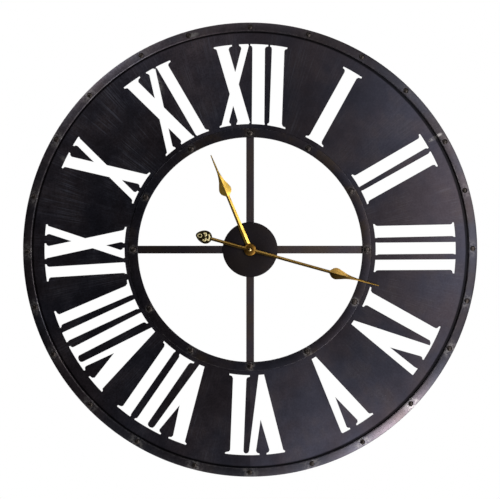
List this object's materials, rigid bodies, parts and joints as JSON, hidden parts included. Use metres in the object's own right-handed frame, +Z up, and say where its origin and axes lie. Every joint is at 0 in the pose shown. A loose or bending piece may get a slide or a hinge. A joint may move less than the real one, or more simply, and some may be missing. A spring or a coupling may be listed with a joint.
{
  "type": "wall clock",
  "caption": "Large round metal wall clock with a pierced Roman numeral dial, riveted rings, an open centre with cross bars, brass hands and a battery movement behind the hub.",
  "frame": {"origin": "on the hands' arbor, midway between the wall plane and the front of the hand nut", "axes": "+Y from the dial towards the wall, along the arbor; +Z up through twelve o'clock; +X towards three o'clock"},
  "size_m": [0.8, 0.0384, 0.8],
  "materials": {
    "black_steel": "satin, brushed, scuffed",
    "rivet_steel": "satin, worn",
    "brass": "polished",
    "black_plastic": "matte",
    "white_plastic": "satin",
    "rubber": "matte",
    "bright_steel": "satin",
    "copper": "lacquered wire",
    "circuit_board": "satin",
    "battery_skin": "gloss sleeve"
  },
  "bodies": {
    "clock": {"outer_rim": "black_steel", "dial_plate": "black_steel", "inner_ring": "black_steel", "vertical_bar": "black_steel", "horizontal_bar": "black_steel", "centre_disc": "black_steel", "wall_hanger": "black_steel", "rim_rivet_01": "rivet_steel", "rim_rivet_02": "rivet_steel", "rim_rivet_03": "rivet_steel", "rim_rivet_04": "rivet_steel", "rim_rivet_05": "rivet_steel", "rim_rivet_06": "rivet_steel", "rim_rivet_07": "rivet_steel", "rim_rivet_08": "rivet_steel", "rim_rivet_09": "rivet_steel", "rim_rivet_10": "rivet_steel", "rim_rivet_11": "rivet_steel", "rim_rivet_12": "rivet_steel", "rim_rivet_13": "rivet_steel", "rim_rivet_14": "rivet_steel", "rim_rivet_15": "rivet_steel", "rim_rivet_16": "rivet_steel", "rim_rivet_17": "rivet_steel", "rim_rivet_18": "rivet_steel", "rim_rivet_19": "rivet_steel", "rim_rivet_20": "rivet_steel", "rim_rivet_21": "rivet_steel", "rim_rivet_22": "rivet_steel", "rim_rivet_23": "rivet_steel", "rim_rivet_24": "rivet_steel", "fixing_nut": "brass", "movement_case": "black_plastic", "movement_cover": "black_plastic", "train_bridge": "white_plastic", "rubber_washer": "rubber", "contact_positive": "bright_steel", "contact_negative": "bright_steel", "quartz_crystal": "bright_steel", "coil_core": "bright_steel", "stator": "bright_steel", "coil_winding": "copper", "circuit_board": "circuit_board", "battery": "battery_skin"},
    "minute": {"minute_arbor": "bright_steel", "minute_hand": "brass", "hand_nut": "brass"},
    "hour": {"hour_wheel": "white_plastic", "hour_hand": "brass"},
    "minute_work": {"minute_work_wheel": "white_plastic", "setting_knob": "black_plastic"},
    "centre": {"centre_wheel": "brass"},
    "third": {"third_wheel": "white_plastic"},
    "seconds": {"seconds_wheel": "white_plastic"},
    "fifth": {"fifth_wheel": "white_plastic"},
    "rotor": {"rotor": "bright_steel"}
  },
  "joints": [
    {"name": "minute_turn", "type": "hinge", "parent": "clock", "child": "minute", "pos_m": [0, 0, 0], "axis": [0, 1, 0], "continuous": true},
    {"name": "hour_turn", "type": "hinge", "parent": "clock", "child": "hour", "pos_m": [0, 0, 0], "axis": [0, 1, 0], "continuous": true},
    {"name": "minute_work_turn", "type": "hinge", "parent": "clock", "child": "minute_work", "pos_m": [-0.01128, 0, 0.0041], "axis": [0, 1, 0], "continuous": true},
    {"name": "fifth_turn", "type": "hinge", "parent": "clock", "child": "fifth", "pos_m": [0.00068, 0, 0.01302], "axis": [0, 1, 0], "continuous": true},
    {"name": "rotor_turn", "type": "hinge", "parent": "clock", "child": "rotor", "pos_m": [-0.00452, 0, 0.01602], "axis": [0, 1, 0], "continuous": true},
    {"name": "seconds_turn", "type": "hinge", "parent": "clock", "child": "seconds", "pos_m": [0.00757, 0, 0.0118], "axis": [0, 1, 0], "continuous": true},
    {"name": "third_turn", "type": "hinge", "parent": "clock", "child": "third", "pos_m": [0.01048, 0, 0.00381], "axis": [0, 1, 0], "continuous": true},
    {"name": "centre_turn", "type": "hinge", "parent": "clock", "child": "centre", "pos_m": [0, 0, 0], "axis": [0, 1, 0], "continuous": true}
  ],
  "couplings": [
    {"joint": "minute_work_turn", "follows": "minute_turn", "ratio": -0.33333},
    {"joint": "hour_turn", "follows": "minute_turn", "ratio": 0.083333},
    {"joint": "rotor_turn", "follows": "fifth_turn", "ratio": -5},
    {"joint": "seconds_turn", "follows": "fifth_turn", "ratio": -0.16667},
    {"joint": "third_turn", "follows": "fifth_turn", "ratio": 0.022222},
    {"joint": "centre_turn", "follows": "fifth_turn", "ratio": -0.0027778}
  ]
}
